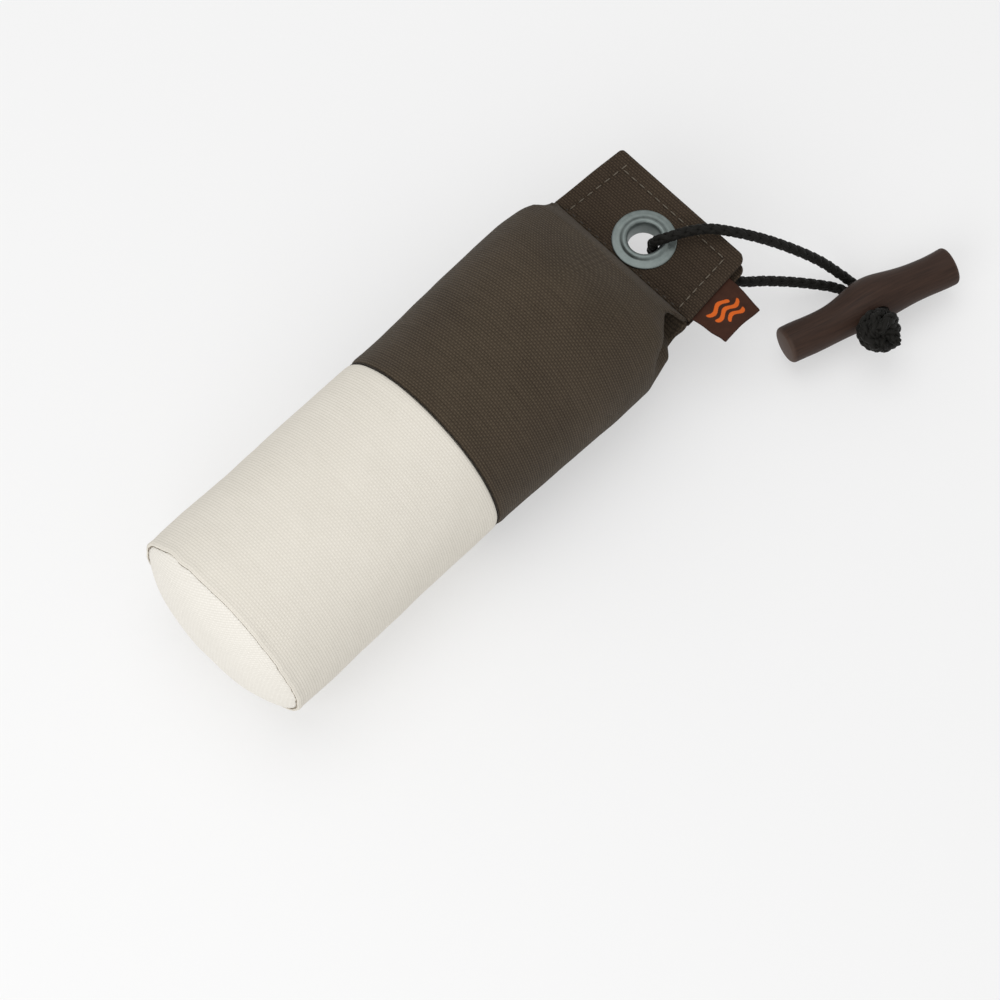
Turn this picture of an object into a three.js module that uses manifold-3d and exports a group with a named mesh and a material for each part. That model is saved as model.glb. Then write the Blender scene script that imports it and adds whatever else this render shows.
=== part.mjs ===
// A canvas retrieving bumper lying on its side: a stuffed two-colour tube with a round end
// disc, a flat sewn tab with a steel eyelet, and a throwing loop with a toggle on it.
// Millimetres, +Z up. +X runs from the round end to the tab, and the origin is the middle
// of the flat strip of belly that the bumper rests on.
import * as THREE from 'three';
import { mergeVertices } from 'three/addons/utils/BufferGeometryUtils.js';
import Module from 'manifold-3d';

const wasm = await Module();
wasm.setup();

// Stuffed body, by station along X
const BASE_X = -75;
const BORDER_X = 6.5;
const BELLY_END_X = 56;
const CORNER_X = 82;
const THROAT_X = 91;
const TAB_END_X = 117.5;
const AXIS_Z = 31.4;
const BODY_RADIUS = 32.4;
const SHOULDER_RADIUS = 33.9;
const DOME_RISE = 5.7;

// Cloth, and how close sewn layers lie
const CANVAS = 0.75;
const PLY_GAP = 0.15;
const THREAD_RADIUS = 0.2;

// Squarish section that the stuffing gives the shoulder just before the throat
const CORNER_HALF_WIDTH = 33.6;
const CORNER_HALF_HEIGHT = 19.5;
const CORNER_SQUARENESS = 3;

// Flat tab: front and back plies with a folded gusset ply at each side between them
const TAB_Z = 32.5;
const THROAT_HALF_WIDTH = 28.3;
const TAB_HALF_WIDTH = 26;
const GUSSET_CREASE_Y = 3.5;
const POCKET_HALF_GAP = 0.5;
const PLY_INNER_Z = POCKET_HALF_GAP + CANVAS + PLY_GAP;
const PLY_OUTER_Z = PLY_INNER_Z + CANVAS;
const STITCH_INSET = 4.9;

// Eyelet
const EYELET_X = 101.2;
const HOLE_RADIUS = 5;
const BARREL_RADIUS = 5.6;
const PLY_HOLE_RADIUS = 6;
const FLANGE_RADIUS = 10.1;

// Throwing loop and toggle
const CORD_DIAMETER = 3.3;
const STRAND_OFFSET = 1.75;
const TOGGLE_CENTRE = [143.6, -57.6, 11];
const TOGGLE_TURN_DEG = -17;
const HOLE_TILT_DEG = 54.5;
const TOGGLE_LENGTH = 60;
const TOGGLE_END_RADIUS = 6;
const TOGGLE_MID_RADIUS = 8.2;
const TOGGLE_HOLE_RADIUS = 3.8;
const KNOT_HALF_WIDTH = 7.2;
const KNOT_HALF_HEIGHT = 5.8;
const KNOT_SHIFT = -1.5;

const SIDES = 32;
const RIDGE = SIDES / 8;
const QUARTER = SIDES / 4;
const RIDGE_ANGLE = THREE.MathUtils.degToRad(48);

const object = new THREE.Group();

// ---------- helpers ----------

function add(name, geometry, colour, roughness, metalness = 0, parent = object) {
  const material = new THREE.MeshStandardMaterial({ color: colour, roughness, metalness });
  const mesh = new THREE.Mesh(geometry, material);
  mesh.name = name;
  parent.add(mesh);
  return mesh;
}

function welded(geometry) {
  const bare = geometry.clone();
  bare.deleteAttribute('normal');
  bare.deleteAttribute('uv');
  return mergeVertices(bare, 1e-4);
}

function toSolid(geometry) {
  const closed = welded(geometry);
  return new wasm.Manifold(new wasm.Mesh({
    numProp: 3,
    vertProperties: new Float32Array(closed.attributes.position.array),
    triVerts: new Uint32Array(closed.index.array),
  }));
}

function toGeometry(solid) {
  const mesh = solid.getMesh();
  const geometry = new THREE.BufferGeometry();
  geometry.setAttribute('position', new THREE.BufferAttribute(mesh.vertProperties, 3));
  geometry.setIndex(new THREE.BufferAttribute(mesh.triVerts, 1));
  geometry.computeVertexNormals();
  return geometry;
}

const smooth = (t) => THREE.MathUtils.smoothstep(t, 0, 1);
const share = (x, from, to) => THREE.MathUtils.clamp((x - from) / (to - from), 0, 1);

// ---------- body sections ----------

function bodyRadius(x) {
  return THREE.MathUtils.lerp(BODY_RADIUS, SHOULDER_RADIUS, smooth(share(x, 5, 60)));
}

// Corner i of the section, folded to the first quarter: 0 is the top, QUARTER the side
function quarterIndex(i) {
  const half = i % (SIDES / 2);
  return half <= QUARTER ? half : SIDES / 2 - half;
}

function sectionAngle(q) {
  if (q <= RIDGE) return (RIDGE_ANGLE * q) / RIDGE;
  return RIDGE_ANGLE + ((Math.PI / 2 - RIDGE_ANGLE) * (q - RIDGE)) / (QUARTER - RIDGE);
}

function roundSection(x, q, inset) {
  const radius = bodyRadius(x) - inset;
  return [radius * Math.sin(sectionAngle(q)), radius * Math.cos(sectionAngle(q))];
}

function cornerSection(q, inset) {
  const power = 2 / CORNER_SQUARENESS;
  const across = Math.pow(Math.sin(sectionAngle(q)), power);
  const up = q === QUARTER ? 0 : Math.pow(Math.cos(sectionAngle(q)), power);
  return [(CORNER_HALF_WIDTH - inset) * across, (CORNER_HALF_HEIGHT - inset) * up];
}

// The throat: a front ply, and below it a gusset ply that runs in to its crease
function foldedSection(q, inset) {
  const foldZ = (PLY_INNER_Z + POCKET_HALF_GAP + CANVAS) / 2;
  if (q < RIDGE) return [(THROAT_HALF_WIDTH * q) / RIDGE, PLY_OUTER_Z - inset];
  if (q === RIDGE) return [THROAT_HALF_WIDTH - inset, foldZ];
  if (q === QUARTER) return [GUSSET_CREASE_Y - inset, 0];
  const run = (q - RIDGE) / (QUARTER - RIDGE);
  const y = THREE.MathUtils.lerp(THROAT_HALF_WIDTH, GUSSET_CREASE_Y, run);
  return [y, POCKET_HALF_GAP + inset];
}

// A point of the body at station x, corner i, that far inside the outer surface
function bodyPoint(x, i, inset, scale = 1) {
  const q = quarterIndex(i);
  let [y, z] = roundSection(x, q, inset);
  const toCorner = share(x, BELLY_END_X, CORNER_X);
  const toThroat = share(x, CORNER_X, THROAT_X);
  if (toThroat > 0) {
    const from = cornerSection(q, inset);
    const to = foldedSection(q, inset);
    y = THREE.MathUtils.lerp(from[0], to[0], smooth(toThroat));
    z = THREE.MathUtils.lerp(from[1], to[1], Math.pow(toThroat, 0.8));
  } else if (toCorner > 0) {
    const to = cornerSection(q, inset);
    y = THREE.MathUtils.lerp(y, to[0], smooth(toCorner));
    z = THREE.MathUtils.lerp(z, to[1], 1 - Math.cos((toCorner * Math.PI) / 2));
  }
  const right = i > 0 && i < SIDES / 2 ? 1 : -1;
  const upper = i < SIDES / 4 || i > (3 * SIDES) / 4 ? 1 : -1;
  const middle = i % (SIDES / 2) === 0 ? 0 : right;
  const height = Math.max(upper * z, inset - AXIS_Z);
  const lift = (TAB_Z - AXIS_Z) * smooth(share(x, BELLY_END_X, THROAT_X));
  return [x, middle * y * scale, AXIS_Z + lift + height * scale];
}

// A sewn skin or stuffed solid: a lathe whose rings are re-laid on the body's sections.
// Each profile entry is [station, inset, scale towards the axis].
function onBody(profile) {
  const rings = profile.map(([x, , scale = 1]) => new THREE.Vector2(scale, x));
  const geometry = new THREE.LatheGeometry(rings, SIDES);
  const position = geometry.attributes.position;
  for (let i = 0; i <= SIDES; i += 1) {
    profile.forEach(([x, inset, scale], j) => {
      position.setXYZ(i * profile.length + j, ...bodyPoint(x, i % SIDES, inset, scale));
    });
  }
  const closed = welded(geometry);
  closed.computeVertexNormals();
  return closed;
}

function skin(outer, inset, thickness) {
  const outside = outer.map(([x, dip = 0]) => [x, inset + dip]).reverse();
  const inside = outer.map(([x]) => [x, inset + thickness]);
  return onBody([...outside, ...inside, outside[0]]);
}

// A round thread laid in a seam that runs round the body
function seamRing(x, inset) {
  const corners = Array.from({ length: 7 }, (_, k) => {
    const angle = (k * Math.PI) / 3;
    return [x + THREAD_RADIUS * Math.cos(angle), inset - THREAD_RADIUS * Math.sin(angle)];
  });
  return onBody(corners);
}

// ---------- canvas body ----------

const WHITE = 0xe6e0d2;
const OLIVE = 0x463e34;
const creaseDip = 0.5;
const seamGap = 0.15;

add('white_sleeve', skin([
  [BASE_X, 0.2], [BASE_X + 1.5], [BASE_X + 15], [BASE_X + 40], [BORDER_X - 20],
  [BORDER_X - 2], [BORDER_X - seamGap, creaseDip],
], 0, CANVAS), WHITE, 0.95);

const bellyStations = [BORDER_X + 2, 20, 38, BELLY_END_X];
const shoulderStations = [62, 67, 71, 75, 79, CORNER_X, 84, 86, 88, 89.5, THROAT_X];
add('olive_sleeve', skin([
  [BORDER_X + seamGap, creaseDip],
  ...[...bellyStations, ...shoulderStations].map((x) => [x]),
], 0, CANVAS), OLIVE, 0.95);

// The disc's edge is turned in and lies as a short flange inside the white sleeve
const flangeInset = CANVAS + 0.3;
const flangeDepth = 7;
const domeSteps = [1, 0.86, 0.68, 0.45, 0.2];
const domeX = (scale) => BASE_X - DOME_RISE * (1 - scale * scale);
add('end_disc', onBody([
  [BASE_X - DOME_RISE + CANVAS, flangeInset, 0],
  ...[...domeSteps].reverse().map((s) => [domeX(s) + CANVAS, flangeInset + CANVAS, s]),
  [BASE_X + flangeDepth, flangeInset + CANVAS],
  [BASE_X + flangeDepth, flangeInset],
  ...domeSteps.map((s) => [domeX(s), flangeInset, s]),
  [BASE_X - DOME_RISE, flangeInset, 0],
]), WHITE, 0.95);

add('base_seam_thread', seamRing(BASE_X - 0.5, 0.8), 0xd8d1c2, 0.8);
add('border_seam_thread', seamRing(BORDER_X, 0.22), 0x5c5347, 0.8);

// The bag that holds the filling is gathered, not sealed, behind the throat
const bagWall = 0.4;
const bagInset = CANVAS + 0.5;
const bagBaseInset = flangeInset + CANVAS + 0.3;
const bagProfile = [
  [BASE_X + 1.6, bagBaseInset, 0], [BASE_X + 1.6, bagBaseInset, 0.5],
  [BASE_X + 1.6, bagBaseInset, 1], [BASE_X + flangeDepth + 1, bagBaseInset, 1],
  ...[BASE_X + flangeDepth + 4, ...bellyStations, ...shoulderStations.slice(0, 4)]
    .map((x) => [x, bagInset, 1]),
  [77.5, bagInset, 0.9], [78.5, bagInset, 0.6], [79, bagInset, 0.25],
];
const bagInside = bagProfile.map(([x, inset, scale]) => (
  [x + (x < BASE_X + 2 ? bagWall : 0) - (x > 78 ? bagWall : 0), inset + bagWall, scale]));
const bagMouth = bagProfile[bagProfile.length - 1];
add('inner_bag', onBody([...[...bagProfile].reverse(), ...bagInside, bagMouth]), 0xcfc8b8, 0.9);

const fillInset = bagInset + bagWall + 0.45;
const fillBaseInset = bagBaseInset + bagWall + 0.3;
add('filling', onBody([
  [76.8, fillInset, 0], [76.8, fillInset, 0.5], [76.2, fillInset, 0.88],
  ...[BASE_X + flangeDepth + 4, ...bellyStations, ...shoulderStations.slice(0, 4)]
    .map((x) => [x, fillInset, 1]).reverse(),
  [BASE_X + flangeDepth + 1, fillBaseInset, 1],
  [BASE_X + 2.6, fillBaseInset, 1], [BASE_X + 2.3, fillBaseInset, 0.5],
  [BASE_X + 2.3, fillBaseInset, 0],
]), 0xb9ab8e, 1);

// ---------- tab ----------

const plyHole = toSolid(new THREE.CylinderGeometry(PLY_HOLE_RADIUS, PLY_HOLE_RADIUS, 20, 24)
  .rotateX(Math.PI / 2).translate(EYELET_X, 0, 0));

function throughHole(geometry) {
  return toGeometry(toSolid(geometry).subtract(plyHole)).translate(0, 0, TAB_Z);
}

// The outline narrows a little towards its end. The right-hand corner is the rounder one.
function tabOutline(endX, grow, leftRound, rightRound) {
  const half = TAB_HALF_WIDTH + grow;
  const shape = new THREE.Shape();
  shape.moveTo(THROAT_X + 0.3, -THROAT_HALF_WIDTH);
  shape.lineTo(endX - rightRound, -half);
  shape.quadraticCurveTo(endX, -half, endX, -half + rightRound);
  shape.lineTo(endX, half - leftRound);
  shape.quadraticCurveTo(endX, half, endX - leftRound, half);
  shape.lineTo(THROAT_X + 0.3, THROAT_HALF_WIDTH);
  return shape;
}

function tabPly(bottomZ, outline) {
  const settings = { depth: CANVAS, bevelEnabled: false, curveSegments: 4 };
  return throughHole(new THREE.ExtrudeGeometry(outline, settings).translate(0, 0, bottomZ));
}

add('tab_front_ply', tabPly(PLY_INNER_Z, tabOutline(TAB_END_X, 0, 1.5, 3)), OLIVE, 0.95);
add('tab_back_ply', tabPly(-PLY_OUTER_Z, tabOutline(TAB_END_X - 0.6, 0.6, 1.5, 3)), OLIVE, 0.95);

// The body's side, folded in on itself so that it lies doubled between front and back
function gussetPly() {
  const outerY = TAB_HALF_WIDTH - 0.4;
  const inside = POCKET_HALF_GAP;
  const outside = POCKET_HALF_GAP + CANVAS;
  const shape = new THREE.Shape();
  shape.moveTo(outerY, outside);
  shape.lineTo(GUSSET_CREASE_Y + 0.4, outside);
  shape.lineTo(GUSSET_CREASE_Y - CANVAS + 0.4, 0);
  shape.lineTo(GUSSET_CREASE_Y + 0.4, -outside);
  shape.lineTo(outerY, -outside);
  shape.lineTo(outerY, -inside);
  shape.lineTo(GUSSET_CREASE_Y + 0.8, -inside);
  shape.lineTo(GUSSET_CREASE_Y + 0.8, inside);
  shape.lineTo(outerY, inside);
  const settings = { depth: TAB_END_X - 1 - THROAT_X - 0.3, bevelEnabled: false };
  return new THREE.ExtrudeGeometry(shape, settings)
    .rotateX(Math.PI / 2).rotateZ(Math.PI / 2).translate(THROAT_X + 0.3, 0, 0);
}

const halfTurnAboutLength = new THREE.Matrix4().makeRotationX(Math.PI);
add('left_gusset_ply', throughHole(gussetPly()), OLIVE, 0.95);
add('right_gusset_ply', throughHole(gussetPly().applyMatrix4(halfTurnAboutLength)), OLIVE, 0.95);

// The seam that shuts the tab: one thread down both sides and across the end
function tabStitching(bottomZ) {
  const rootX = THROAT_X + 1.6;
  const corners = (inset) => {
    const endX = TAB_END_X - inset;
    const endY = TAB_HALF_WIDTH - inset;
    const rootY = THROAT_HALF_WIDTH - inset;
    return [[rootX, -rootY], [endX, -endY], [endX, endY], [rootX, rootY]]
      .map((corner) => new THREE.Vector2(...corner));
  };
  const inner = corners(STITCH_INSET + 2 * THREAD_RADIUS).reverse();
  const seam = new THREE.Shape([...corners(STITCH_INSET), ...inner]);
  return new THREE.ExtrudeGeometry(seam, { depth: 2 * THREAD_RADIUS, bevelEnabled: false })
    .translate(0, 0, TAB_Z + bottomZ);
}

const stitchZ = PLY_OUTER_Z + 0.1;
add('tab_stitching_front', tabStitching(stitchZ), 0x6b6152, 0.8);
add('tab_stitching_back', tabStitching(-stitchZ - 2 * THREAD_RADIUS), 0x6b6152, 0.8);

// ---------- eyelet ----------

function ring(points) {
  const closed = [...points, points[0]].map(([r, z]) => new THREE.Vector2(r, z));
  return new THREE.LatheGeometry(closed, 32).rotateX(Math.PI / 2)
    .translate(EYELET_X, 0, TAB_Z);
}

const flangeZ = PLY_OUTER_Z + PLY_GAP;
add('eyelet', ring([
  [HOLE_RADIUS, -3], [HOLE_RADIUS + 0.3, -3.5], [6.2, -3.75], [7.1, -3.6], [7, -3.25],
  [6.2, -3.2], [BARREL_RADIUS, -3], [BARREL_RADIUS, flangeZ], [FLANGE_RADIUS, flangeZ],
  [FLANGE_RADIUS, 2.5], [9.6, 2.75], [7.6, 2.9], [7, 3.1], [6.4, 3.5], [5.8, 3.45],
  [5.25, 3], [HOLE_RADIUS, 2.4],
]), 0x8b9491, 0.35, 0.9);

add('eyelet_washer', ring([
  [5.9, -2.9], [7.4, -2.9], [9.6, -2.8], [10, -2.5], [10, -flangeZ], [5.9, -flangeZ],
]), 0x8b9491, 0.4, 0.9);

// ---------- side label ----------

// A woven ribbon folded double, its cut ends sewn into the gusset's pocket
const LABEL_FROM_X = 94.5;
const LABEL_WIDTH = 16.5;
const LABEL_SEWN_Y = -16;
const LABEL_FOLD_Y = -39.6;
const RIBBON = 0.28;
const labelDroop = (y) => 3.5 * Math.pow(share(-y, TAB_HALF_WIDTH, -LABEL_FOLD_Y), 2);

function sideLabel() {
  const halfThick = 0.35;
  const stations = [LABEL_SEWN_Y, -26, -30, -33.5, -37, LABEL_FOLD_Y];
  const shape = new THREE.Shape();
  const side = (ys, height) => ys.forEach((y) => shape.lineTo(y, height - labelDroop(y)));
  shape.moveTo(LABEL_SEWN_Y, halfThick);
  side(stations.slice(1), halfThick);
  side([...stations].reverse(), -halfThick);
  shape.lineTo(LABEL_SEWN_Y, RIBBON - halfThick);
  side(stations.slice(1, -1), RIBBON - halfThick);
  side([...stations.slice(0, -1)].reverse(), halfThick - RIBBON);
  return new THREE.ExtrudeGeometry(shape, { depth: LABEL_WIDTH, bevelEnabled: false })
    .rotateX(Math.PI / 2).rotateZ(Math.PI / 2).translate(LABEL_FROM_X, 0, TAB_Z);
}

add('side_label', sideLabel(), 0x42291e, 0.9);

// ---------- throwing loop ----------

// The toggle's own frame: X along the toggle, Z along the hole towards the knot
const toggleTurn = new THREE.Group();
toggleTurn.position.set(...TOGGLE_CENTRE);
toggleTurn.rotation.z = THREE.MathUtils.degToRad(TOGGLE_TURN_DEG);
const toggleFrame = new THREE.Group();
toggleFrame.rotation.x = THREE.MathUtils.degToRad(HOLE_TILT_DEG);
toggleTurn.add(toggleFrame);
object.add(toggleTurn);
object.updateMatrixWorld(true);

const fromToggle = (x, z) => new THREE.Vector3(x, 0, z).applyMatrix4(toggleFrame.matrixWorld);

function strand(points, name) {
  const section = new THREE.Shape();
  for (let k = 0; k < 8; k += 1) {
    const angle = (k * Math.PI) / 4;
    const corner = [Math.cos(angle), Math.sin(angle)].map((c) => (c * CORD_DIAMETER) / 2);
    if (k === 0) section.moveTo(...corner);
    else section.lineTo(...corner);
  }
  const path = new THREE.CatmullRomCurve3(points, false, 'centripetal');
  const settings = { steps: 38, bevelEnabled: false, extrudePath: path };
  add(name, new THREE.ExtrudeGeometry(section, settings), 0x23221f, 0.9);
}

const routePoint = (p) => new THREE.Vector3(...p);
const strandEnd = TOGGLE_MID_RADIUS - 0.1;

strand([
  ...[
    [102.2, -2.8, 32.7], [102.2, -2.8, 34.9], [102.9, -3.8, 37.2], [104.8, -5.4, 38.5],
    [110.5, -8.6, 39.2], [116, -12.6, 39.2], [121.6, -18.6, 37.5], [128.4, -25.4, 32.6],
    [135.6, -31.8, 24.6], [142.4, -37.8, 15.2], [146.6, -42.8, 7.9], [148.6, -46.8, 4.3],
  ].map(routePoint),
  fromToggle(STRAND_OFFSET, -TOGGLE_MID_RADIUS - 1), fromToggle(STRAND_OFFSET, 0),
  fromToggle(STRAND_OFFSET, strandEnd),
], 'cord_upper_run');

strand([
  ...[
    [102.2, -2.8, 32.3], [102.2, -2.8, 30], [102.9, -3.8, 27.8], [104.8, -6.2, 26.5],
    [108.6, -13, 26], [112.2, -20.6, 25.2], [116.5, -27, 22.9], [123.8, -31.2, 18.6],
    [131.8, -36, 13.2], [139.2, -41, 7.7], [143.6, -44.6, 4.4], [144.9, -47.4, 4],
  ].map(routePoint),
  fromToggle(-STRAND_OFFSET, -TOGGLE_MID_RADIUS - 1), fromToggle(-STRAND_OFFSET, 0),
  fromToggle(-STRAND_OFFSET, strandEnd),
], 'cord_lower_run');

// A turned toggle: a swelling round the cord hole, easing to straight arms with square ends
function toggleBody() {
  const half = TOGGLE_LENGTH / 2;
  const edge = 1.2;
  const armRadius = (x) => TOGGLE_END_RADIUS
    + (TOGGLE_MID_RADIUS - TOGGLE_END_RADIUS) * Math.exp(-Math.pow(x / 9.5, 2));
  const along = [-half + edge, -22, -15, -10, -5, 0, 5, 10, 15, 22, half - edge];
  const profile = [
    new THREE.Vector2(0, -half),
    new THREE.Vector2(TOGGLE_END_RADIUS - edge, -half),
    ...along.map((x) => new THREE.Vector2(armRadius(x), x)),
    new THREE.Vector2(TOGGLE_END_RADIUS - edge, half),
    new THREE.Vector2(0, half),
  ];
  const turned = new THREE.LatheGeometry(profile, 24).rotateZ(-Math.PI / 2);
  const drill = new THREE.CylinderGeometry(TOGGLE_HOLE_RADIUS, TOGGLE_HOLE_RADIUS, 30, 16)
    .rotateX(Math.PI / 2);
  return toGeometry(toSolid(turned).subtract(toSolid(drill)));
}

add('toggle', toggleBody(), 0x3c2e28, 0.7, 0, toggleFrame);

const knot = new THREE.SphereGeometry(1, 16, 10).rotateX(Math.PI / 2)
  .scale(KNOT_HALF_WIDTH, KNOT_HALF_WIDTH, KNOT_HALF_HEIGHT)
  .translate(KNOT_SHIFT, 0, TOGGLE_MID_RADIUS + 0.3 + KNOT_HALF_HEIGHT);
add('cord_knot', knot, 0x23221f, 0.9, 0, toggleFrame);

export default object;
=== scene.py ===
# A stuffed canvas retrieving bumper, lying on its side: a two-colour sleeve with a round end,
# a flat sewn tab with a steel eyelet, and a throwing cord with a toggle and a knot.
import bisect
import math

import bmesh
import bpy
from mathutils import Matrix, Vector, noise


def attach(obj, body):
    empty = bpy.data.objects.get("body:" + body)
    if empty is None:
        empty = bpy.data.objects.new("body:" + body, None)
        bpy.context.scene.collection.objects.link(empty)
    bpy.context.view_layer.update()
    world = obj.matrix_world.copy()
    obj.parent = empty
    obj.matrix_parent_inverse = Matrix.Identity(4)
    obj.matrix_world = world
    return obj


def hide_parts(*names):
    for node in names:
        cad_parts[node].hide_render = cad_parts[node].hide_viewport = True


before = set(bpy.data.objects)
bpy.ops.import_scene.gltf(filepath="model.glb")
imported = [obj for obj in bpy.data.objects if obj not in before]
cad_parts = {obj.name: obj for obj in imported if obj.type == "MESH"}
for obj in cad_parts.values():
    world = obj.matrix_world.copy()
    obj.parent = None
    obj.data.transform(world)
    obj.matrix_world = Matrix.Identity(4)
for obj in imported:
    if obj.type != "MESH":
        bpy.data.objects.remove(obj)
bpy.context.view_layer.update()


# ---- Studio ----
# A pale floor lit softly from below like a light table, a bright even surround, one wide soft
# light from the round end and a weaker one overhead. The camera looks down on the bumper at
# about 68 degrees.
def in_metres(*point_mm):
    return Vector(point_mm) * 0.001


def wire(tree, kind, inputs=None, **settings):
    made = tree.nodes.new("ShaderNode" + kind)
    for key, value in settings.items():
        setattr(made, key, value)
    for key, value in (inputs or {}).items():
        if isinstance(value, bpy.types.NodeSocket):
            tree.links.new(value, made.inputs[key])
        else:
            made.inputs[key].default_value = value
    return made


def finish_material(name):
    material = bpy.data.materials.new(name)
    material.use_nodes = True
    tree = material.node_tree
    return material, tree, tree.nodes["Principled BSDF"]


scene = bpy.context.scene
scene.view_settings.view_transform = "Standard"

CAMERA_PLACE = (-221.04, -261.72, 864)
LIGHTS_AIM = (20, 0, 20)
looking = Vector((0.258709, 0.260372, -0.930202)).normalized()
rightward = Vector((0.7093, -0.7049, 0)).normalized()
upward = rightward.cross(looking)
camera_data = bpy.data.cameras.new("camera")
camera_data.lens = 108.66
camera_data.sensor_width = 36
camera_data.dof.use_dof = False
camera = bpy.data.objects.new("camera", camera_data)
camera.matrix_world = Matrix.Translation(in_metres(*CAMERA_PLACE)) @ Matrix(
    (rightward, upward, -looking)).transposed().to_4x4()
scene.collection.objects.link(camera)
scene.camera = camera

world = bpy.data.worlds.new("surround")
world.use_nodes = True
surround = world.node_tree.nodes["Background"]
surround.inputs["Color"].default_value = (1, 1, 1, 1)
surround.inputs["Strength"].default_value = 0.70
scene.world = world

for light_name, place, size, power in (
        ("key_light", (-700, -200, 600), 0.8, 3.4), ("top_light", (100, 200, 1100), 0.9, 2.6)):
    light_data = bpy.data.lights.new(light_name, "AREA")
    light_data.shape = "DISK"
    light_data.size = size
    light_data.energy = power
    light = bpy.data.objects.new(light_name, light_data)
    light.location = in_metres(*place)
    towards = in_metres(*LIGHTS_AIM) - light.location
    light.rotation_euler = towards.to_track_quat("-Z", "Y").to_euler()
    scene.collection.objects.link(light)

FLOOR_HALF, FLOOR_DROP = 6, -0.0002
floor_material, _, floor_shader = finish_material("pale_floor")
floor_shader.inputs["Base Color"].default_value = (0.46, 0.46, 0.46, 1)
floor_shader.inputs["Emission Color"].default_value = (1, 1, 1, 1)
floor_shader.inputs["Emission Strength"].default_value = 0.42
floor_shader.inputs["Roughness"].default_value = 0.9
floor_bm = bmesh.new()
bmesh.ops.create_grid(floor_bm, x_segments=1, y_segments=1, size=FLOOR_HALF)
floor_mesh = bpy.data.meshes.new("floor")
floor_bm.to_mesh(floor_mesh)
floor_bm.free()
floor_mesh.materials.append(floor_material)
floor = bpy.data.objects.new("floor", floor_mesh)
floor.location.z = FLOOR_DROP
scene.collection.objects.link(floor)


# ---- Throwing cord, upper and lower runs ----
# One length of 3.3 mm braided black polyester, passed through the eyelet and back, both
# ends through the toggle. Six plump strands cross over and under round a hollow middle.
STRAND_SHIFT = 1.75
CORD_LAY = 12.0
STRANDS_EACH_WAY = 3
STRAND_REACH, STRAND_CROSSING = 0.98, 0.26
STRAND_HALF_WIDE, STRAND_HALF_THICK = 0.86, 0.56
STRAND_MERGE = 2e-6
ROUTE_STEP = 0.45
CURVE_PARTS = 24
TOGGLE_CENTRE = Vector((143.6, -57.6, 11))
toggle_along = Vector((math.cos(math.radians(-17)), math.sin(math.radians(-17)), 0))
toggle_hole = Vector((-0.23802, -0.77854, 0.58070))


def from_toggle(along, through):
    return TOGGLE_CENTRE + toggle_along * along + toggle_hole * through


def smooth_route(points, step):
    """Points a step apart on a centripetal curve through these."""
    points = [Vector(p) for p in points]
    ends = [2 * points[0] - points[1], *points, 2 * points[-1] - points[-2]]
    fine = []
    for a, b, c, d in zip(ends, ends[1:], ends[2:], ends[3:]):
        t1 = (b - a).length ** 0.5
        t2 = t1 + (c - b).length ** 0.5
        t3 = t2 + (d - c).length ** 0.5
        for k in range(CURVE_PARTS):
            t = t1 + (t2 - t1) * k / CURVE_PARTS
            ab = a.lerp(b, t / t1)
            bc = b.lerp(c, (t - t1) / (t2 - t1))
            cd = c.lerp(d, (t - t2) / (t3 - t2))
            fine.append(ab.lerp(bc, t / t2).lerp(bc.lerp(cd, (t - t1) / (t3 - t1)),
                                                 (t - t1) / (t2 - t1)))
    fine.append(points[-1])
    run = [0.0]
    for p, q in zip(fine, fine[1:]):
        run.append(run[-1] + (q - p).length)
    count = max(2, round(run[-1] / step))
    spaced = []
    for k in range(count + 1):
        at = run[-1] * k / count
        i = min(max(bisect.bisect_right(run, at) - 1, 0), len(fine) - 2)
        share = (at - run[i]) / max(run[i + 1] - run[i], 1e-9)
        spaced.append(fine[i].lerp(fine[i + 1], share))
    return spaced


def frames_along(route):
    """A pair of crossways directions at each point, carried along without twisting."""
    side = None
    made = []
    for i in range(len(route)):
        ahead = (route[min(i + 1, len(route) - 1)] - route[max(i - 1, 0)]).normalized()
        if side is None:
            side = ahead.orthogonal().normalized()
        side = (side - ahead * side.dot(ahead)).normalized()
        made.append((ahead, side, ahead.cross(side)))
    return made


def lay_grid(bm, layer, across, along, place, chart):
    """A flat grid of faces, with its map written, then laid point by point in its shape."""
    verts = bmesh.ops.create_grid(bm, x_segments=across, y_segments=along, size=0.5)["verts"]
    share = {v: (v.co.x + 0.5, v.co.y + 0.5) for v in verts}
    for face in {f for v in verts for f in v.link_faces}:
        for loop in face.loops:
            loop[layer].uv = chart(*share[loop.vert])
    for vertex, (s, t) in share.items():
        vertex.co = place(s, t) * 0.001
    return verts


def close_ends(bm, verts, sides):
    """Merge a rolled grid's long edges, and cap what is still open."""
    bmesh.ops.remove_doubles(bm, verts=verts, dist=STRAND_MERGE)
    bmesh.ops.holes_fill(bm, edges=[e for e in bm.edges if e.is_boundary], sides=sides)


def sweep(bm, layer, route, half_wide, half_thick, outward, sides):
    """One flat strand: a grid rolled round the points of its route."""
    frames = frames_along(route)
    last = len(route) - 1

    def place(s, t):
        i = round(t * last)
        ahead = frames[i][0]
        out = (outward[i] - ahead * outward[i].dot(ahead)).normalized()
        angle = 2 * math.pi * s
        return (route[i] + ahead.cross(out) * math.cos(angle) * half_wide
                + out * math.sin(angle) * half_thick)

    length = sum((q - p).length for p, q in zip(route, route[1:]))
    return lay_grid(bm, layer, sides, last, place, lambda s, t: (s, t * length))


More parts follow.
